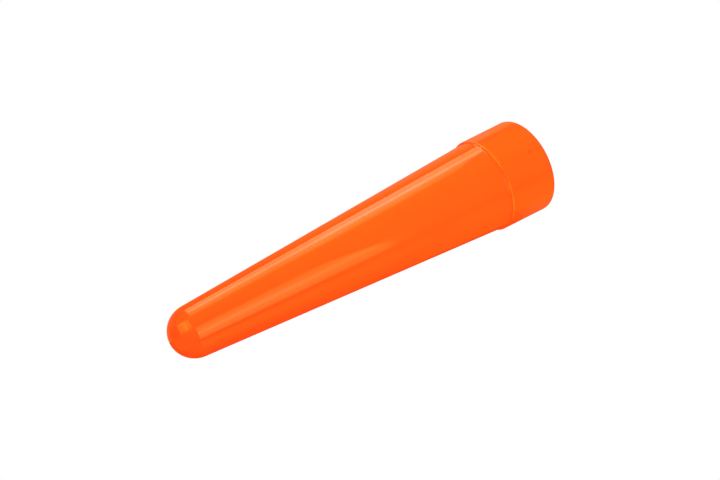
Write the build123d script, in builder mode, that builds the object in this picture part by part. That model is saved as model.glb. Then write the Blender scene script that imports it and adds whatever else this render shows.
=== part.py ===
from build123d import *
import os
from math import acos, atan2, cos, degrees, hypot, radians, sin, tan

# Slip-on signal cone for a hand torch: a thin-walled diffuser cone with a domed tip, plugged into a collar
# that slips over the torch's head and grips it with an elastomer ring.
# Millimetres. The origin is the centre of the collar's open rim, which stands on the floor at z = 0, and
# +Z runs along the axis to the dome.

# Overall size
overall_length = 168.0
collar_length = 22.5
rim_diameter = 42.0  # collar, at its open rim
collar_front_diameter = 41.2  # collar, where the cone comes out
cone_base_diameter = 39.75  # cone, where it leaves the collar
dome_radius = 10.3

# Diffuser cone
shell_wall = 1.8
spigot_length = 10.0  # the stretch that plugs into the collar
spigot_wall = 1.4
spigot_chamfer = 0.4

# Collar
socket_radius = 19.7  # bore that takes the spigot and the grip ring
assembly_gap = 0.05  # radial, between that bore and what sits in it
lip_radius = 18.6  # opening in the lip that keeps the ring in
lip_thickness = 1.6
rim_round = 0.5
lip_round = 0.4
front_round = 0.15
gate_mark_radius = 0.65
gate_mark_depth = 0.2
gate_mark_cutter = 1.0  # from the mark's floor outward, clear of the wall
gate_mark_height = 6.6
gate_mark_angle = -80.0  # degrees about +Z, from +X

# Grip ring
grip_radius = 17.75  # the bore that bites on the torch's head
grip_lead_in = 0.9
face_stop_radius = 16.6  # opening in the flange that the torch's face stops against
face_stop_thickness = 1.0
groove_radius = 0.6
groove_count = 3
groove_pitch = 2.6

# Outline of the cone and its dome, in (radius, height): the cone is tangent to the dome's sphere.
rim_radius = rim_diameter / 2
front_radius = collar_front_diameter / 2
base_radius = cone_base_diameter / 2
dome_height = overall_length - dome_radius
dome_rise = dome_height - collar_length
half_angle = acos(dome_radius / hypot(base_radius, dome_rise)) - atan2(dome_rise, base_radius)
dome_start = degrees(half_angle)
dome_sweep = 90.0 - dome_start

spigot_foot = collar_length - spigot_length
seated_radius = socket_radius - assembly_gap
spigot_bore = seated_radius - spigot_wall
inner_dome_radius = dome_radius - shell_wall
inner_base_radius = base_radius - shell_wall / cos(half_angle)
inner_corner_height = collar_length - (spigot_bore - inner_base_radius) / tan(half_angle)


def dome_tangent(radius):
    """Where the cone's straight side meets a dome of this radius."""
    return (radius * cos(half_angle), dome_height + radius * sin(half_angle))


with BuildPart() as diffuser_cone:
    with BuildSketch(Plane.XZ):
        with BuildLine():
            Polyline(
                (spigot_bore, spigot_foot),
                (seated_radius - spigot_chamfer, spigot_foot),
                (seated_radius, spigot_foot + spigot_chamfer),
                (seated_radius, collar_length),
                (base_radius, collar_length),
                dome_tangent(dome_radius),
            )
            CenterArc((0, dome_height), dome_radius, dome_start, dome_sweep)
            Line((0, dome_height + dome_radius), (0, dome_height + inner_dome_radius))
            CenterArc((0, dome_height), inner_dome_radius, dome_start, dome_sweep)
            Polyline(
                dome_tangent(inner_dome_radius),
                (spigot_bore, inner_corner_height),
                (spigot_bore, spigot_foot),
            )
        make_face()
    revolve(axis=Axis.Z)
diffuser_cone.part.label = "diffuser_cone"


with BuildPart() as collar:
    with BuildSketch(Plane.XZ):
        with BuildLine():
            Polyline(
                (lip_radius, 0),
                (rim_radius, 0),
                (front_radius, collar_length),
                (socket_radius, collar_length),
                (socket_radius, lip_thickness),
                (lip_radius, lip_thickness),
                close=True,
            )
        make_face()
    revolve(axis=Axis.Z)
    rings = collar.edges().filter_by(GeomType.CIRCLE)
    rim_edges = rings.group_by(Axis.Z)[0].sort_by(SortBy.RADIUS)
    front_edges = rings.group_by(Axis.Z)[-1].sort_by(SortBy.RADIUS)
    fillet(rim_edges[-1], rim_round)
    fillet(rim_edges[0], lip_round)
    fillet(front_edges[-1], front_round)
    # A shallow round gate mark on the side.
    mark_angle = radians(gate_mark_angle)
    mark_surface = rim_radius - (rim_radius - front_radius) * gate_mark_height / collar_length
    mark_out = Vector(cos(mark_angle), sin(mark_angle), 0)
    mark_floor = mark_out * (mark_surface - gate_mark_depth) + Vector(0, 0, gate_mark_height)
    with BuildSketch(Plane(origin=mark_floor, z_dir=mark_out)):
        Circle(gate_mark_radius)
    extrude(amount=gate_mark_cutter, mode=Mode.SUBTRACT)
collar.part.label = "collar"


with BuildPart() as grip_ring:
    with BuildSketch(Plane.XZ):
        with BuildLine():
            Polyline(
                (grip_radius + grip_lead_in, lip_thickness),
                (seated_radius, lip_thickness),
                (seated_radius, spigot_foot),
                (face_stop_radius, spigot_foot),
                (face_stop_radius, spigot_foot - face_stop_thickness),
                (grip_radius, spigot_foot - face_stop_thickness),
                (grip_radius, lip_thickness + grip_lead_in),
                close=True,
            )
        make_face()
        # Half-round grooves leave lands that flex over slightly different torch heads.
        bore_low = lip_thickness + grip_lead_in
        bore_high = spigot_foot - face_stop_thickness
        with Locations((grip_radius, (bore_low + bore_high) / 2)):
            with GridLocations(0, groove_pitch, 1, groove_count):
                Circle(groove_radius, mode=Mode.SUBTRACT)
    revolve(axis=Axis.Z)
grip_ring.part.label = "grip_ring"


os.makedirs("parts", exist_ok=True)
export_step(diffuser_cone.part, "parts/diffuser_cone.step")
export_step(collar.part, "parts/collar.step")
export_step(grip_ring.part, "parts/grip_ring.step")
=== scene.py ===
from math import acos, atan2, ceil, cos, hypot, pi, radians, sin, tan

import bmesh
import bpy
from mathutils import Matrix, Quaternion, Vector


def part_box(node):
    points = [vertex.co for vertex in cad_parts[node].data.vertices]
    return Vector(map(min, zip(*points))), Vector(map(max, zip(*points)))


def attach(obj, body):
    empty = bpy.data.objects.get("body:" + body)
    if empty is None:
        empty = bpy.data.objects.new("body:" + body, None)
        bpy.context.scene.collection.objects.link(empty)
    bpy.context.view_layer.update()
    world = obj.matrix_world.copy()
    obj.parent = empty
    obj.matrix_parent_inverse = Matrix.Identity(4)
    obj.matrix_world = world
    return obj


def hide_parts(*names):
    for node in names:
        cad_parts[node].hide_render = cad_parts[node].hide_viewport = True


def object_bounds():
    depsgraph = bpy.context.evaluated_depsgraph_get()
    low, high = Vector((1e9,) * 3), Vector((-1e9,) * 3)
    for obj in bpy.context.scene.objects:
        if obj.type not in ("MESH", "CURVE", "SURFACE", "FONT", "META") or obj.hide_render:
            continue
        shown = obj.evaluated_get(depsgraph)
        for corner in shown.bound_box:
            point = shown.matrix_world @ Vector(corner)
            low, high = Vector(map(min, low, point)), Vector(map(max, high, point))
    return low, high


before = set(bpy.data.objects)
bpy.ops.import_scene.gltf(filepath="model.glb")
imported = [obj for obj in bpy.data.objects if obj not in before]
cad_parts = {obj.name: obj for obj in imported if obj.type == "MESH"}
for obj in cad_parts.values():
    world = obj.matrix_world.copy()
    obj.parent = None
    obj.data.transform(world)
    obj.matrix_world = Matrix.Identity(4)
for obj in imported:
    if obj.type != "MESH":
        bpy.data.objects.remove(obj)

# Looks of the slip-on signal cone: three lathe-built pieces that stand for the three CAD nodes, in glossy
# fluorescent orange plastic and dark matt rubber. A white world lights them evenly over a white floor, and
# glowing cards that only reflections show give the streaks of light.
# Metres. The origin is the centre of the collar's open rim, on the floor, and +Z runs to the domed tip.
# Azimuths are in degrees, from -Y towards +X, so that the camera stands near azimuth 0.

cad_low, cad_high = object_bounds()
scene = bpy.context.scene


# ---------------------------------------------------------------- sizes

cone_low, cone_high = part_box("diffuser_cone")
_, collar_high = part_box("collar")
grip_low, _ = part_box("grip_ring")

OVERALL_LENGTH = cone_high.z
COLLAR_LENGTH = collar_high.z
SPIGOT_FOOT = cone_low.z
LIP_THICKNESS = grip_low.z
SEATED_RADIUS = 0.01965  # of the spigot and the grip ring, in the collar's bore
SLIGHT_ROUND = 0.0001  # on edges inside the collar
SMALL_ROUND = 0.0002

RIM_RADIUS = 0.021
RIM_ROUND = 0.0005
FRONT_RADIUS = 0.0206
FRONT_ROUND = 0.00015
SOCKET_RADIUS = 0.0197
LIP_RADIUS = 0.0186
LIP_ROUND = 0.0004

BASE_RADIUS = 0.019875  # of the cone, where it leaves the collar
DOME_RADIUS = 0.0103
SHELL_WALL = 0.0018
SPIGOT_WALL = 0.0014
SPIGOT_ROUND = 0.0004
SHOULDER_ROUND = 0.0006  # inside, where the spigot's bore meets the tapered wall
FLARE_HEIGHT = 0.0004  # the cone's side turns out a little just above the collar
FLARE_REACH = 0.0002
FLARE_ROUND = 0.0012

GRIP_RADIUS = 0.01775
GRIP_LEAD_IN = 0.0009
GRIP_LEAD_ROUND = 0.0003
FACE_STOP_RADIUS = 0.0166
FACE_STOP_THICKNESS = 0.001
GROOVE_RADIUS = 0.0006
GROOVE_PITCH = 0.0026
GROOVE_COUNT = 3
GROOVE_STEPS = 8

GATE_MARK_HEIGHT = 0.0066
GATE_MARK_AZIMUTH = 10.0
GATE_MARK_RADIUS = 0.00065
GATE_MARK_DEPTH = 0.0002
GATE_MARK_RINGS = (2.1, 1.6, 1.3, 1.18, 1.08, 1.0, 0.92, 0.82, 0.7, 0.45)  # in shares of the mark's radius
GATE_MARK_EDGE = 1.2  # where the dish's slope starts and how wide it is, in the same shares
GATE_MARK_SLOPE = 0.45
GATE_MARK_FADE = 2.2  # where its dullness has faded
GATE_MARK_HALF_BLOCK = 4  # faces of the wall that make room for it, on each side of its middle
ON_WALL = 1e-6

# The cone's straight side is tangent to its dome.
DOME_RISE = OVERALL_LENGTH - DOME_RADIUS - COLLAR_LENGTH
HALF_ANGLE = acos(DOME_RADIUS / hypot(BASE_RADIUS, DOME_RISE)) - atan2(DOME_RISE, BASE_RADIUS)


# ---------------------------------------------------------------- lathe work

SEGMENTS = 240
ARC_STEP = radians(12)  # the most that an arc turns, and runs, from point to point
ARC_RUN = 0.0006
RUN_END = 0.00015  # a close extra point at each end of a straight run keeps its shading flat
TOUCHING = 1e-7  # nearer points than this are one


def rounded(corners, longest):
    """An outline in (radius, height) through corners (radius, height, rounding), each rounded by an arc that
    is tangent to both its sides. A straight run longer than `longest` is divided evenly."""
    arcs = []
    for before, here, after in zip(corners, corners[1:], corners[2:]):
        corner, size = Vector(here[:2]), here[2]
        back = (Vector(before[:2]) - corner).normalized()
        ahead = (Vector(after[:2]) - corner).normalized()
        if size == 0:
            arcs.append([corner])
            continue
        opening = back.angle(ahead)
        reach = size / tan(opening / 2)
        centre = corner + (back + ahead).normalized() * size / sin(opening / 2)
        first, last = corner + back * reach - centre, corner + ahead * reach - centre
        turn = pi - opening
        steps = max(3, ceil(turn / ARC_STEP), ceil(turn * size / ARC_RUN))
        arc = []
        for step in range(steps + 1):
            share = step / steps
            blend = first * sin((1 - share) * turn) / sin(turn) + last * sin(share * turn) / sin(turn)
            arc.append(centre + blend)
        arcs.append(arc)
    points = [Vector(corners[0][:2])]
    for arc in arcs + [[Vector(corners[-1][:2])]]:
        start, gap = points[-1], (arc[0] - points[-1]).length
        if gap < TOUCHING:
            arc = arc[1:]
        else:
            keep = min(RUN_END, gap / 3)
            inner = gap - 2 * keep
            count = max(1, ceil(inner / longest))
            for step in range(count + 1):
                points.append(start + (arc[0] - start) * (keep + inner * step / count) / gap)
        points += arc
    return points


def revolve(outline, closed, start_azimuth=0.0):
    """A bmesh turned from an outline about +Z, and its rings of vertices, one for each point of the outline,
    or a single vertex at a pole. An outline that isn't closed starts and ends on the axis."""
    mesh = bmesh.new()
    rings = []
    for point in outline:
        if point.x < TOUCHING:
            rings.append([mesh.verts.new((0, 0, point.y))])
            continue
        ring = []
        for segment in range(SEGMENTS):
            angle = radians(start_azimuth - 90) + 2 * pi * segment / SEGMENTS
            ring.append(mesh.verts.new((point.x * cos(angle), point.x * sin(angle), point.y)))
        rings.append(ring)
    pairs = list(zip(rings, rings[1:]))
    if closed:
        pairs.append((rings[-1], rings[0]))
    for low, high in pairs:
        for segment in range(SEGMENTS):
            after = (segment + 1) % SEGMENTS
            if len(low) == 1:
                mesh.faces.new((low[0], high[after], high[segment]))
            elif len(high) == 1:
                mesh.faces.new((low[segment], low[after], high[0]))
            else:
                mesh.faces.new((low[segment], low[after], high[after], high[segment]))
    return mesh, rings


def piece(name, mesh, materials, inner=None):
    """A named object from a bmesh, which it frees. It rides on the part. `inner` tells which faces take the
    second material."""
    bmesh.ops.recalc_face_normals(mesh, faces=mesh.faces)
    for face in mesh.faces:
        face.smooth = True
        if inner and inner(face):
            face.material_index = 1
    data = bpy.data.meshes.new(name)
    mesh.to_mesh(data)
    mesh.free()
    for material in materials:
        data.materials.append(material)
    made = bpy.data.objects.new(name, data)
    scene.collection.objects.link(made)
    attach(made, "root")
    return made


# ---------------------------------------------------------------- materials

def new_material(name):
    """A material with its node tree and its Principled shader."""
    material = bpy.data.materials.new(name)
    material.use_nodes = True
    return material, material.node_tree, material.node_tree.nodes["Principled BSDF"]


def noise(tree, scale, detail=2.0, stretch=(1, 1, 1)):
    """Noise from 0 to 1 in object space, with `scale` cells to the metre. stretch multiplies that by axis."""
    place = tree.nodes.new("ShaderNodeTexCoord")
    mapping = tree.nodes.new("ShaderNodeMapping")
    mapping.inputs["Scale"].default_value = stretch
    tree.links.new(place.outputs["Object"], mapping.inputs["Vector"])
    texture = tree.nodes.new("ShaderNodeTexNoise")
    texture.inputs["Scale"].default_value = scale
    texture.inputs["Detail"].default_value = detail
    tree.links.new(mapping.outputs["Vector"], texture.inputs["Vector"])
    return texture.outputs["Fac"]


def remap(tree, value, low, high, to_low, to_high):
    """The value taken from low..high to to_low..to_high, and clamped there."""
    node = tree.nodes.new("ShaderNodeMapRange")
    tree.links.new(value, node.inputs["Value"])
    for socket, number in zip(("From Min", "From Max", "To Min", "To Max"), (low, high, to_low, to_high)):
        node.inputs[socket].default_value = number
    return node.outputs["Result"]


def mix(tree, share, first, second):
    """A colour between first and second, each a colour or a socket."""
    node = tree.nodes.new("ShaderNodeMix")
    node.data_type = "RGBA"
    tree.links.new(share, node.inputs["Factor"])
    for socket, colour in ((node.inputs[6], first), (node.inputs[7], second)):
        if isinstance(colour, tuple):
            socket.default_value = (*colour, 1)
        else:
            tree.links.new(colour, socket)
    return node.outputs[2]


def bump(tree, height, strength, distance):
    """The surface's normal, disturbed by a height of 0 to 1 that stands for `distance` metres."""
    node = tree.nodes.new("ShaderNodeBump")
    node.inputs["Strength"].default_value = strength
    node.inputs["Distance"].default_value = distance
    tree.links.new(height, node.inputs["Height"])
    return node.outputs["Normal"]


def position(tree):
    """The position in object space, as the sockets Vector, X, Y and Z."""
    place = tree.nodes.new("ShaderNodeTexCoord")
    split = tree.nodes.new("ShaderNodeSeparateXYZ")
    tree.links.new(place.outputs["Object"], split.inputs["Vector"])
    return {"Vector": place.outputs["Object"], **{axis: split.outputs[axis] for axis in "XYZ"}}


def fill(ramp, stops):
    """Sets a colour ramp to (share, colour) stops."""
    for share, colour in stops[1:-1]:
        ramp.elements.new(share)
    for element, (share, colour) in zip(ramp.elements, stops):
        element.position = share
        element.color = (*colour, 1)


def distance_from(tree, vector, point):
    """How far a position is from this point."""
    node = tree.nodes.new("ShaderNodeVectorMath")
    node.operation = "DISTANCE"
    tree.links.new(vector, node.inputs[0])
    node.inputs[1].default_value = point
    return node.outputs["Value"]


def compute(tree, operation, *values):
    """The result of a Math node, on sockets or numbers."""
    node = tree.nodes.new("ShaderNodeMath")
    node.operation = operation
    for socket, value in zip(node.inputs, values):
        if isinstance(value, (int, float)):
            socket.default_value = value
        else:
            tree.links.new(value, socket)
    return node.outputs[0]


def tinted(tree, share, colour, tint):
    """The colour, multiplied by the tint where share is 1."""
    product = mix(tree, share, colour, tint)
    product.node.blend_type = "MULTIPLY"
    return product


def levels_round(tree, turn, stops):
    """A grey level through (azimuth, level) stops from -180 to 180 degrees. turn is the azimuth as 0 to 1."""
    ramp = tree.nodes.new("ShaderNodeValToRGB")
    tree.links.new(turn, ramp.inputs["Fac"])
    fill(ramp.color_ramp, [((azimuth + 180) / 360, (level, level, level)) for azimuth, level in stops])
    return ramp.outputs["Color"]


ORANGE = (0.95, 0.107, 0.0086)
# Painted shade: the orange is darker towards the tip, for the shade the tip gets. The inner side uses the
# darker orange as a mottle tone.
ORANGE_TIP = (0.95, 0.086, 0.0084)
TIP_SHADE_FADE = (0.09, 0.15)  # the heights between which the one turns into the other
DEEPER = (0.995, 0.97, 0.95)  # the tint of mottle and flow lines
# Painted shade: the colour darkens and reddens near the rim, where the floor shades it.
RIM_SHADE_TINT = (1, 0.75, 0.8)
RIM_SHADE_BAND = (0.0006, 0.0013)  # the heights between which it fades
# A painted highlight along the collar's front edge.
ORANGE_PAINTED_HIGHLIGHT = (1.0, 0.24, 0.012)
# A painted reflection on the collar's front face.
ORANGE_PAINTED_REFLECTION = (1.0, 0.19, 0.045)
# An even painted glow: fluorescent plastic does brighten under light, but this emission stays the same
# whatever lights it.
FLUORESCENT_PAINTED_GLOW = (1.0, 0.012, 0.0)
FLUORESCENT_PAINTED_GLOW_STRENGTH = 0.42

GLOSSY = (0.04, 0.065)  # roughness, from the smoothest spots to the roughest
CORE_MATT = (0.38, 0.5)
RUBBER_MATT = (0.55, 0.75)
RUBBER_DARK = (0.022, 0.022, 0.024)
RUBBER_PALE = (0.05, 0.05, 0.052)

PLASTIC_SPECULAR = 0.5
GATE_MARK_SPECULAR = 0.12


def add_fluorescent_painted_glow(shader):
    """Gives a shader an even painted glow. It is partly the fluorescent plastic's own brightening and partly
    painted light, since it doesn't follow the lamps and flattens the shading.
    """
    shader.inputs["Emission Color"].default_value = (*FLUORESCENT_PAINTED_GLOW, 1)
    shader.inputs["Emission Strength"].default_value = FLUORESCENT_PAINTED_GLOW_STRENGTH


def orange_plastic(name, marks=None):
    """Glossy fluorescent orange plastic, with painted shade that darkens it towards the tip, faint mottle,
    flow lines along the part and orange peel. marks, given the tree, the shader and the colour, adds the
    marks of one moulding, and on the collar painted light too, and gives the colour back."""
    material, tree, shader = new_material(name)
    height = position(tree)["Z"]
    # Painted shade: darker orange towards the tip.
    colour = mix(tree, remap(tree, height, *TIP_SHADE_FADE, 0, 1), ORANGE, ORANGE_TIP)
    mottle = remap(tree, noise(tree, scale=70, detail=3), 0.35, 0.65, 0, 1)
    flow = remap(tree, noise(tree, scale=420, stretch=(1, 1, 0.06)), 0.35, 0.65, 0, 0.6)
    colour = tinted(tree, mottle, colour, DEEPER)
    colour = tinted(tree, flow, colour, DEEPER)
    roughness = remap(tree, noise(tree, scale=260, detail=3), 0.3, 0.7, *GLOSSY)
    if marks:
        colour = marks(tree, shader, colour)
    tree.links.new(colour, shader.inputs["Base Color"])
    tree.links.new(roughness, shader.inputs["Roughness"])
    peel = bump(tree, noise(tree, scale=900), strength=0.25, distance=0.00002)
    tree.links.new(peel, shader.inputs["Normal"])
    shader.inputs["IOR"].default_value = 1.5
    add_fluorescent_painted_glow(shader)
    return material


def collar_marks_and_painted_light(tree, shader, colour):
    """Painted shade towards the rim's edge, the dull gate mark, and a painted highlight on the thin front
    edge, which comes and goes: most of it on the outer corner, and a paler painted reflection on the front
    face at one side."""
    place = position(tree)
    # Painted shade towards the rim.
    colour = tinted(tree, remap(tree, place["Z"], *RIM_SHADE_BAND, 1, 0), colour, RIM_SHADE_TINT)

    angle, reach = radians(GATE_MARK_AZIMUTH), collar_radius(GATE_MARK_HEIGHT)
    away = distance_from(tree, place["Vector"], (reach * sin(angle), -reach * cos(angle), GATE_MARK_HEIGHT))
    inner, outer = GATE_MARK_EDGE * GATE_MARK_RADIUS, GATE_MARK_FADE * GATE_MARK_RADIUS
    shine = remap(tree, away, inner, outer, GATE_MARK_SPECULAR, PLASTIC_SPECULAR)
    tree.links.new(shine, shader.inputs["Specular IOR Level"])

    toward = compute(tree, "MULTIPLY", place["Y"], -1)
    turn = remap(tree, compute(tree, "ARCTAN2", place["X"], toward), -pi, pi, 0, 1)
    # Painted highlight: a lighter yellow band on the front edge's outer corner, bright at the azimuths where
    # that edge catches the light.
    glow = levels_round(tree, turn, [
        (-180, 0.4), (-120, 0.15), (-66, 0), (-54, 0.3), (-45, 0.38), (-35, 0.5), (-25, 0.35), (-15, 0.6),
        (-7, 0.12), (4, 0), (10, 0.3), (17, 0.5), (26, 0.5), (36, 0.38), (44, 0.8), (52, 0.6), (62, 0.3),
        (72, 0), (110, 0), (145, 0.5), (180, 0.4),
    ])
    near_front = remap(tree, place["Z"], COLLAR_LENGTH - 0.0012, COLLAR_LENGTH - 0.0005, 0, 1)
    squares = [compute(tree, "POWER", place[axis], 2) for axis in "XY"]
    from_axis = compute(tree, "POWER", compute(tree, "ADD", *squares), 0.5)
    near_wall = remap(tree, from_axis, FRONT_RADIUS - 0.00035, FRONT_RADIUS - 0.00015, 0, 1)
    share = compute(tree, "MULTIPLY", compute(tree, "MULTIPLY", near_front, near_wall), glow)
    colour = mix(tree, share, colour, ORANGE_PAINTED_HIGHLIGHT)

    # Painted reflection: a paler band on the front face at one side.
    painted_reflection = levels_round(tree, turn, [(-180, 0), (52, 0), (61, 0.8), (80, 0.8), (88, 0), (180, 0)])
    face = remap(tree, place["Z"], COLLAR_LENGTH - 0.0004, COLLAR_LENGTH - 0.0002, 0, 1)
    return mix(tree, compute(tree, "MULTIPLY", face, painted_reflection), colour, ORANGE_PAINTED_REFLECTION)


def core_side_plastic(name):
    """The moulding's inner side, with the fine matt finish of its core."""
    material, tree, shader = new_material(name)
    grain = noise(tree, scale=2600, detail=3)
    mottle = remap(tree, grain, 0.35, 0.65, 0, 1)
    tree.links.new(mix(tree, mottle, ORANGE, ORANGE_TIP), shader.inputs["Base Color"])
    tree.links.new(remap(tree, grain, 0.3, 0.7, *CORE_MATT), shader.inputs["Roughness"])
    tree.links.new(bump(tree, grain, strength=0.4, distance=0.00003), shader.inputs["Normal"])
    add_fluorescent_painted_glow(shader)
    return material


def rubber(name):
    """Dark matt rubber with a fine grain."""
    material, tree, shader = new_material(name)
    grain = noise(tree, scale=3200, detail=3)
    tree.links.new(mix(tree, grain, RUBBER_DARK, RUBBER_PALE), shader.inputs["Base Color"])
    tree.links.new(remap(tree, grain, 0.3, 0.7, *RUBBER_MATT), shader.inputs["Roughness"])
    tree.links.new(bump(tree, grain, strength=0.5, distance=0.00005), shader.inputs["Normal"])
    return material


# ---------------------------------------------------------------- the cone

def make_cone():
    """The thin-walled shell, outlined from the tip down its side to the spigot, and back up inside."""
    spigot_bore = SEATED_RADIUS - SPIGOT_WALL
    inner_base = BASE_RADIUS - SHELL_WALL / cos(HALF_ANGLE)
    inner_corner = COLLAR_LENGTH - (spigot_bore - inner_base) / tan(HALF_ANGLE)
    inner_top = OVERALL_LENGTH - SHELL_WALL
    dome_corner = BASE_RADIUS - (OVERALL_LENGTH - COLLAR_LENGTH) * tan(HALF_ANGLE)
    inner_dome_corner = inner_base - (inner_top - COLLAR_LENGTH) * tan(HALF_ANGLE)
    flare_top_radius = BASE_RADIUS - FLARE_HEIGHT * tan(HALF_ANGLE)
    outline = rounded(
        [
            (0, OVERALL_LENGTH, 0),
            (dome_corner, OVERALL_LENGTH, DOME_RADIUS),
            (flare_top_radius, COLLAR_LENGTH + FLARE_HEIGHT, FLARE_ROUND),
            (BASE_RADIUS + FLARE_REACH, COLLAR_LENGTH, 0),
            (SEATED_RADIUS, COLLAR_LENGTH, 0),
            (SEATED_RADIUS, SPIGOT_FOOT, SPIGOT_ROUND),
            (spigot_bore, SPIGOT_FOOT, SMALL_ROUND),
            (spigot_bore, inner_corner, SHOULDER_ROUND),
            (inner_dome_corner, inner_top, DOME_RADIUS - SHELL_WALL),
            (0, inner_top, 0),
        ],
        longest=0.003,
    )
    mesh, _ = revolve(outline, closed=False)

    def inner(face):
        centre = face.calc_center_median()
        return Vector((centre.x, centre.y, 0)).dot(face.normal) < 0 and centre.z > SPIGOT_FOOT + SLIGHT_ROUND

    plastics = [orange_plastic("orange_cone"), core_side_plastic("orange_core")]
    shell = piece("diffuser_shell", mesh, plastics, inner)
    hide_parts("diffuser_cone")


# ---------------------------------------------------------------- the collar

def collar_radius(height):
    """The outer wall's radius, which tapers evenly from the rim to the front."""
    return RIM_RADIUS + (FRONT_RADIUS - RIM_RADIUS) * height / COLLAR_LENGTH


def sink_gate_mark(mesh, rings):
    """Puts rings of quads round a shallow dish in place of a square block of the outer wall's faces."""
    half = GATE_MARK_HALF_BLOCK
    wall = [ring for ring in rings if abs(hypot(*ring[0].co.xy) - collar_radius(ring[0].co.z)) < ON_WALL]
    wall.sort(key=lambda ring: ring[0].co.z)
    middle = min(range(len(wall)), key=lambda i: abs(wall[i][0].co.z - GATE_MARK_HEIGHT))
    rows = wall[middle - half:middle + half + 1]
    block = [[row[column] for column in range(-half, half + 1)] for row in rows]
    inside = [vertex for row in block[1:-1] for vertex in row[1:-1]]
    border = block[0][:-1] + [row[-1] for row in block[:-1]]
    border += block[-1][:0:-1] + [row[0] for row in block[:0:-1]]
    start = radians(GATE_MARK_AZIMUTH - 90)
    bearings = []
    for vertex in border:
        across = (atan2(vertex.co.y, vertex.co.x) - start) * collar_radius(GATE_MARK_HEIGHT)
        bearings.append(atan2(vertex.co.z - GATE_MARK_HEIGHT, across))
    bmesh.ops.delete(mesh, geom=inside, context="VERTS")
    previous = border
    for share in GATE_MARK_RINGS:
        down = min(1, max(0, (GATE_MARK_EDGE - share) / GATE_MARK_SLOPE))
        sunk = GATE_MARK_DEPTH * down * down * (3 - 2 * down)
        ring = []
        for bearing in bearings:
            height = GATE_MARK_HEIGHT + GATE_MARK_RADIUS * share * sin(bearing)
            angle = start + GATE_MARK_RADIUS * share * cos(bearing) / collar_radius(GATE_MARK_HEIGHT)
            radius = collar_radius(height) - sunk
            ring.append(mesh.verts.new((radius * cos(angle), radius * sin(angle), height)))
        for i in range(len(ring)):
            j = (i + 1) % len(ring)
            mesh.faces.new((previous[i], previous[j], ring[j], ring[i]))
        previous = ring
    radius = collar_radius(GATE_MARK_HEIGHT) - GATE_MARK_DEPTH
    floor = mesh.verts.new((radius * cos(start), radius * sin(start), GATE_MARK_HEIGHT))
    for i in range(len(previous)):
        mesh.faces.new((previous[i], previous[(i + 1) % len(previous)], floor))


def make_collar():
    """The sleeve, outlined from half way up its bore down to the lip, and up its tapered outer wall."""
    outline = rounded(
        [
            (SOCKET_RADIUS, COLLAR_LENGTH / 2, 0),
            (SOCKET_RADIUS, LIP_THICKNESS, SLIGHT_ROUND),
            (LIP_RADIUS, LIP_THICKNESS, SLIGHT_ROUND),
            (LIP_RADIUS, 0, LIP_ROUND),
            (RIM_RADIUS, 0, RIM_ROUND),
            (FRONT_RADIUS, COLLAR_LENGTH, FRONT_ROUND),
            (SOCKET_RADIUS, COLLAR_LENGTH, SLIGHT_ROUND),
            (SOCKET_RADIUS, COLLAR_LENGTH / 2, 0),
        ],
        longest=0.0005,
    )[:-1]
    mesh, rings = revolve(outline, closed=True, start_azimuth=GATE_MARK_AZIMUTH)
    sink_gate_mark(mesh, rings)
    sleeve = piece("collar_sleeve", mesh, [orange_plastic("orange_collar", collar_marks_and_painted_light)])
    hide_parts("collar")


# ---------------------------------------------------------------- the grip ring

def make_grip_ring():
    """The ring between lip and spigot, outlined from the lowest land of its bore out underneath, up its back,
    in over the flange and down past the grooves."""
    foot, head = LIP_THICKNESS, SPIGOT_FOOT
    stop = head - FACE_STOP_THICKNESS
    middle = (foot + GRIP_LEAD_IN + stop) / 2
    lowest_land = foot + 1.5 * GRIP_LEAD_IN
    corners = [
        (GRIP_RADIUS, lowest_land, 0),
        (GRIP_RADIUS, foot + GRIP_LEAD_IN, GRIP_LEAD_ROUND),
        (GRIP_RADIUS + GRIP_LEAD_IN, foot, SMALL_ROUND),
        (SEATED_RADIUS, foot, SLIGHT_ROUND),
        (SEATED_RADIUS, head, SLIGHT_ROUND),
        (FACE_STOP_RADIUS, head, SMALL_ROUND),
        (FACE_STOP_RADIUS, stop, SMALL_ROUND),
        (GRIP_RADIUS, stop, SMALL_ROUND),
    ]
    for groove in range(GROOVE_COUNT):
        height = middle + ((GROOVE_COUNT - 1) / 2 - groove) * GROOVE_PITCH
        corners.append((GRIP_RADIUS, height + GROOVE_RADIUS, 0))
        for step in range(1, GROOVE_STEPS):
            angle = pi / 2 - pi * step / GROOVE_STEPS
            corners.append((GRIP_RADIUS + GROOVE_RADIUS * cos(angle), height + GROOVE_RADIUS * sin(angle), 0))
        corners.append((GRIP_RADIUS, height - GROOVE_RADIUS, 0))
    corners.append((GRIP_RADIUS, lowest_land, 0))
    outline = rounded(corners, longest=0.001)[:-1]
    mesh, _ = revolve(outline, closed=True)
    grip = piece("rubber_grip", mesh, [rubber("grip_rubber")])
    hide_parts("grip_ring")


# ---------------------------------------------------------------- studio

# The cards' edges and radiances were set until the streaks lay on the part as in the photograph.

WORLD_LIGHT = 1.0
FULL = 6.0  # the radiance of a ramp's colour at 1
COLUMN_WIDTH = 2  # degrees
FLOOR_SIZE = 40 * OVERALL_LENGTH
FLOOR_DROP = 0.0001
EVEN = [(0, (1, 1)), (1, (1, 1))]


def at_height(height):
    """A card's edge that stays at one height."""
    return [(0, height)]


def along(points):
    """A function that follows (azimuth, height) points in straight runs."""
    def height(azimuth):
        for (start, low), (end, high) in zip(points, points[1:]):
            if azimuth <= end:
                return low + (high - low) * max(0, (azimuth - start) / (end - start))
        return points[-1][1]
    return height


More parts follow.
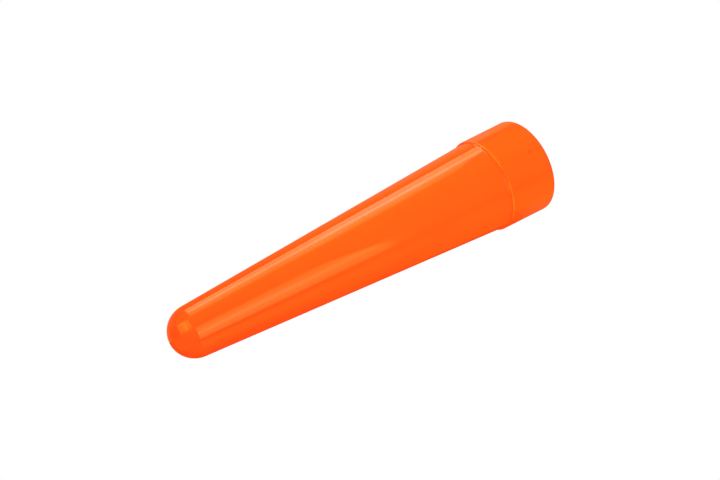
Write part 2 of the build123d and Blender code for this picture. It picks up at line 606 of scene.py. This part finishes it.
def emitter(name, stops, heights):
    """A glowing material. Its colour runs through (share, colour) stops along U, and is multiplied by another
    such run along V."""
    material = bpy.data.materials.new(name)
    material.use_nodes = True
    tree = material.node_tree
    tree.nodes.clear()
    place = tree.nodes.new("ShaderNodeTexCoord")
    split = tree.nodes.new("ShaderNodeSeparateXYZ")
    light = tree.nodes.new("ShaderNodeEmission")
    out = tree.nodes.new("ShaderNodeOutputMaterial")
    tree.links.new(place.outputs["UV"], split.inputs["Vector"])
    runs = []
    for axis, run in (("X", stops), ("Y", heights)):
        ramp = tree.nodes.new("ShaderNodeValToRGB")
        fill(ramp.color_ramp, run)
        tree.links.new(split.outputs[axis], ramp.inputs["Fac"])
        runs.append(ramp.outputs["Color"])
    both = tree.nodes.new("ShaderNodeVectorMath")
    both.operation = "MULTIPLY"
    tree.links.new(runs[0], both.inputs[0])
    tree.links.new(runs[1], both.inputs[1])
    tree.links.new(both.outputs["Vector"], light.inputs["Color"])
    tree.links.new(light.outputs["Emission"], out.inputs["Surface"])
    light.inputs["Strength"].default_value = FULL
    return material


def only_in_reflections(card):
    """Hides a card from everything but glossy rays."""
    card.visible_camera = False
    card.visible_diffuse = False
    card.visible_transmission = False
    card.visible_volume_scatter = False
    card.visible_shadow = False


def curved_card(name, radius, bottom, top, stops, heights=EVEN, lean=(0, 0)):
    """A card bent round the part at this radius, seen only in reflections. bottom and top are (azimuth,
    height) points of its edges. stops are (azimuth, (green, blue)) radiances, red being as green, and heights
    are (share of the height, (green, blue)) factors. lean is how far the first and the last stop's columns
    slant, in degrees to the metre of height. Of two cards, the nearer one hides the other."""
    edge_heights = (along(bottom), along(top))
    first, last = stops[0][0], stops[-1][0]
    columns = max(2, ceil((last - first) / COLUMN_WIDTH))
    mesh = bmesh.new()
    layer = mesh.loops.layers.uv.new("UVMap")
    edges = []
    for column in range(columns + 1):
        azimuth = first + (last - first) * column / columns
        slant = lean[0] + (lean[1] - lean[0]) * column / columns
        edge = []
        for height in (edge_heights[0](azimuth), edge_heights[1](azimuth)):
            angle = radians(azimuth + slant * height)
            edge.append(mesh.verts.new((radius * sin(angle), -radius * cos(angle), height)))
        edges.append(edge)
    for column, (left, right) in enumerate(zip(edges, edges[1:])):
        face = mesh.faces.new((left[0], right[0], right[1], left[1]))
        for loop, corner in zip(face.loops, ((0, 0), (1, 0), (1, 1), (0, 1))):
            loop[layer].uv = ((column + corner[0]) / columns, corner[1])
    data = bpy.data.meshes.new(name)
    mesh.to_mesh(data)
    mesh.free()
    colours = [
        ((azimuth - first) / (last - first), (g / FULL, g / FULL, b / FULL)) for azimuth, (g, b) in stops
    ]
    factors = [(share, (g, g, b)) for share, (g, b) in heights]
    data.materials.append(emitter(name, colours, factors))
    card = bpy.data.objects.new(name, data)
    scene.collection.objects.link(card)
    only_in_reflections(card)


def make_world():
    """Even white light for diffuse rays. Glossy rays see the cards instead."""
    world = bpy.data.worlds.new("soft_white_studio")
    world.use_nodes = True
    world.node_tree.nodes["Background"].inputs["Color"].default_value = (1, 1, 1, 1)
    world.node_tree.nodes["Background"].inputs["Strength"].default_value = WORLD_LIGHT
    world.cycles_visibility.glossy = False
    scene.world = world


def make_floor():
    """A white floor just under the part. It glows as brightly as the world, and is clear from below."""
    data = bpy.data.meshes.new("floor")
    sides = ((-1, -1), (1, -1), (1, 1), (-1, 1))
    corners = [(x * FLOOR_SIZE, y * FLOOR_SIZE, -FLOOR_DROP) for x, y in sides]
    data.from_pydata(corners, [], [(0, 1, 2, 3)])
    floor = bpy.data.objects.new("floor", data)
    scene.collection.objects.link(floor)
    material = bpy.data.materials.new("white_floor")
    material.use_nodes = True
    tree = material.node_tree
    tree.nodes.clear()
    glow = tree.nodes.new("ShaderNodeEmission")
    clear = tree.nodes.new("ShaderNodeBsdfTransparent")
    facing = tree.nodes.new("ShaderNodeNewGeometry")
    choose = tree.nodes.new("ShaderNodeMixShader")
    out = tree.nodes.new("ShaderNodeOutputMaterial")
    glow.inputs["Strength"].default_value = WORLD_LIGHT
    tree.links.new(facing.outputs["Backfacing"], choose.inputs["Fac"])
    tree.links.new(glow.outputs["Emission"], choose.inputs[1])
    tree.links.new(clear.outputs["BSDF"], choose.inputs[2])
    tree.links.new(choose.outputs["Shader"], out.inputs["Surface"])
    data.materials.append(material)
    floor.visible_glossy = False


def make_far_cards():
    """The dim surroundings: a card all round, one over it, and nearer ones at the right and lower left."""
    surround = [
        (-180, (0, 0)), (-115, (0, 0)), (-106, (0.03, 0)), (-89, (0.18, 0)), (-74, (0.29, 0.01)),
        (-60, (0.31, 0.01)), (-50, (0.24, 0)), (-43, (0.22, 0)), (-35, (0.33, 0)), (-25, (0.47, 0.01)),
        (-12, (0.61, 0.01)), (0, (0.61, 0.01)), (23, (0.69, 0.01)), (35, (0.83, 0.02)), (60, (0.99, 0.03)),
        (75, (0.83, 0.03)), (90, (0.74, 0.02)), (97, (0.63, 0.02)), (104, (0.4, 0.02)), (140, (0.32, 0.09)),
        (180, (0.32, 0.11)),
    ]
    towards_tip = [
        (0, (0.87, 0.87)), (0.38, (0.87, 0.87)), (0.47, (1, 1)), (0.5, (1, 1)), (0.55, (0.84, 0.84)),
        (1, (0.84, 0.84)),
    ]
    curved_card("surround", 0.9, at_height(-0.9), at_height(1.2), surround, towards_tip)

    upper = [
        (-205, (0, 0)), (-190, (0.16, 0)), (-150, (0.2, 0)), (-60, (0.27, 0)), (15, (0.22, 0)), (40, (0, 0)),
    ]
    curved_card("upper_card", 0.9, at_height(1.2), at_height(8), upper)

    rim = [
        (106, (0.65, 0.02)), (116, (0.85, 0.07)), (124, (1.1, 0.16)), (131, (1.02, 0.24)),
        (140, (0.87, 0.27)), (150, (0.74, 0.28)), (180, (0.42, 0.18)),
    ]
    fading = [
        (0, (0.84, 0.7)), (0.48, (0.48, 0.62)), (0.557, (0.44, 0.58)), (0.62, (0.4, 0.44)),
        (0.71, (0.335, 0.26)), (0.8, (0.3, 0.17)), (0.87, (0.305, 0.115)), (0.905, (0.295, 0.09)),
        (1, (0.22, 0.04)),
    ]
    curved_card("rim_card", 0.85, at_height(-0.9), at_height(0.15), rim, fading)

    low_rim = [
        (111, (0.43, 0.04)), (115, (0.51, 0.08)), (119, (0.63, 0.15)), (122, (0.73, 0.27)),
        (126, (0.71, 0.36)), (130, (0.64, 0.38)), (137, (0.59, 0.3)), (144, (0.52, 0.2)), (150, (0.41, 0.13)),
        (158, (0.27, 0.07)), (170, (0.15, 0.01)),
    ]
    brighter_front = [
        (0, (0.82, 0.54)), (0.856, (0.82, 0.54)), (0.907, (0.88, 0.97)), (0.969, (1, 1)), (1, (1, 1)),
    ]
    curved_card("low_rim_card", 0.8, at_height(-0.9), at_height(-0.415), low_rim, brighter_front)

    low_left = [
        (-165, (0.1, 0.02)), (-146, (0.14, 0.04)), (-134, (0.18, 0.07)), (-123, (0.23, 0.1)),
        (-114, (0.29, 0.05)), (-102, (0.42, 0.02)), (-85, (0.38, 0.01)), (-71, (0.43, 0.01)),
        (-57, (0.44, 0.01)), (-45, (0.25, 0)),
    ]
    low_left_top = [(-146, -0.455), (-114, -0.45), (-102, -0.44), (-85, -0.414), (-71, -0.409), (-45, -0.403)]
    near_front = [(0, (1, 1)), (0.93, (1, 1)), (0.985, (0.45, 0.3)), (1, (0.3, 0.1))]
    curved_card("low_left_card", 0.8, at_height(-0.9), low_left_top, low_left, near_front)


def make_softboxes():
    """The near cards: two dim ones at the left, the key at the right, and one each in front and overhead."""
    left_foot = [
        (-140, (0.12, 0)), (-125, (0.1, 0)), (-110, (0.1, 0)), (-102, (0.14, 0)), (-92, (0.25, 0)),
        (-85, (0.3, 0)), (-70, (0.42, 0.01)), (-57, (0.43, 0.01)), (-48, (0.33, 0.01)), (-43, (0.2, 0)),
    ]
    fading_up = [(0, (1, 1)), (0.6, (1, 1)), (0.8, (0.85, 0.85)), (1, (0.6, 0.6))]
    curved_card("left_foot_card", 0.6, at_height(-0.29), at_height(-0.15), left_foot, fading_up)

    side = [
        (-98, (0.16, 0)), (-87, (0.32, 0.01)), (-74, (0.67, 0.02)), (-66, (0.77, 0.03)), (-59, (0.7, 0.02)),
        (-54, (0.52, 0.01)), (-51, (0.16, 0)), (-49, (0.05, 0)),
    ]
    side_bottom = [(-98, -0.15), (-60, -0.15), (-54, -0.1), (-49, -0.01)]
    fading_down = [
        (0, (0.42, 0.42)), (0.15, (0.48, 0.48)), (0.34, (0.66, 0.66)), (0.53, (0.8, 0.8)), (0.77, (1, 1)),
        (1, (1, 1)),
    ]
    curved_card("side_card", 0.6, side_bottom, at_height(0.2), side, fading_down)

    key = [
        (56.8, (0.95, 0.03)), (60.8, (1.4, 0.12)), (65, (2.15, 0.35)), (69, (2.75, 0.64)), (76, (2.85, 1.0)),
        (79.5, (3.2, 1.5)), (83, (4.5, 2.3)), (86, (6.0, 3.3)), (88.8, (4.6, 2.5)), (91.5, (3.3, 1.8)),
        (94, (2.95, 1.55)), (102, (2.85, 1.45)), (107, (2.65, 1.3)), (108, (0.3, 0.02)),
    ]
    key_bottom = [
        (56, -0.165), (60, -0.173), (63.5, -0.191), (67, -0.206), (71, -0.219), (75.5, -0.226), (79, -0.246),
        (84, -0.27), (88, -0.282), (92, -0.298), (107, -0.303),
    ]
    uneven = [
        (0, (0.66, 0.48)), (0.117, (0.78, 0.56)), (0.145, (0.83, 0.59)), (0.185, (0.88, 0.66)),
        (0.27, (0.925, 0.83)), (0.37, (0.963, 0.907)), (0.53, (1, 0.856)), (0.67, (0.85, 0.61)),
        (0.86, (0.963, 0.68)), (0.91, (0.94, 0.66)), (1, (0.74, 0.45)),
    ]
    curved_card("key_softbox", 0.6, key_bottom, at_height(0.16), key, uneven, lean=(4, 18))

    front = [
        (-49, (0.04, 0)), (-45, (0.04, 0)), (-43, (0.35, 0.02)), (-39, (1.4, 0.22)), (-35, (2.05, 0.37)),
        (-24, (2.5, 0.5)), (-20, (3.05, 0.8)), (-16, (3.6, 1.04)), (-12, (3.05, 0.76)), (-6, (2.4, 0.45)),
        (2, (2.1, 0.3)), (7, (1.5, 0.16)), (13, (0.65, 0.01)),
    ]
    front_bottom = [
        (-49, -0.01), (-44, -0.03), (-41, -0.118), (-30, -0.117), (-25, -0.111), (-20, -0.103), (-16, -0.091),
        (-11, -0.077), (-6, -0.061), (0, -0.043), (6, -0.02), (13, 0.01),
    ]
    soft_end = [
        (0, (0.18, 0)), (0.06, (0.22, 0.01)), (0.08, (0.25, 0.03)), (0.098, (0.34, 0.08)),
        (0.145, (0.76, 0.59)), (0.2, (0.79, 0.66)), (0.28, (0.79, 0.68)), (0.48, (0.92, 0.9)), (0.77, (1, 1)),
        (1, (1, 1)),
    ]
    curved_card("front_softbox", 0.6, front_bottom, at_height(0.2), front, soft_end, lean=(-9, 0))

    top = [
        (12, (1.4, 0.05)), (18, (2.7, 0.16)), (24, (3.2, 0.27)), (38, (3.95, 0.48)), (50, (3.5, 0.45)),
        (62, (3.9, 0.5)), (82, (2.0, 0.25)),
    ]
    top_bottom = [(55, 0.27), (58, 0.39), (66, 0.56), (73, 0.66), (76, 0.8), (82, 0.95)]
    top_top = [(12, 1.7), (22, 1.63), (44, 1.45), (65, 1.2), (82, 0.97)]
    middle = [
        (0, (0.54, 0.28)), (0.12, (0.6, 0.4)), (0.21, (1, 1)), (0.3, (0.7, 0.55)), (0.45, (0.45, 0.24)),
        (1, (0.42, 0.2)),
    ]
    curved_card("top_softbox", 0.6, top_bottom, top_top, top, middle)


def make_camera():
    """At the photographed viewing angle, turned so that the tip points to the lower left of the picture."""
    azimuth, elevation, roll = -0.51, 20.77, -116.535
    distance = 0.32395
    off_middle = Vector((0.002672, -0.000233, -0.000548))
    data = bpy.data.cameras.new("camera")
    data.sensor_width = 36
    data.lens = 40.24
    camera = bpy.data.objects.new("camera", data)
    scene.collection.objects.link(camera)
    target = (cad_low + cad_high) / 2 + off_middle
    back = Vector((
        sin(radians(azimuth)) * cos(radians(elevation)),
        -cos(radians(azimuth)) * cos(radians(elevation)),
        sin(radians(elevation)),
    ))
    camera.location = target + back * distance
    turn = Quaternion((0, 0, 1), radians(roll))
    camera.rotation_mode = "QUATERNION"
    camera.rotation_quaternion = (-back).to_track_quat("-Z", "Y") @ turn
    scene.camera = camera


make_camera()
make_world()
make_floor()
make_far_cards()
make_softboxes()
make_cone()
make_collar()
make_grip_ring()
scene.view_settings.view_transform = "Standard"
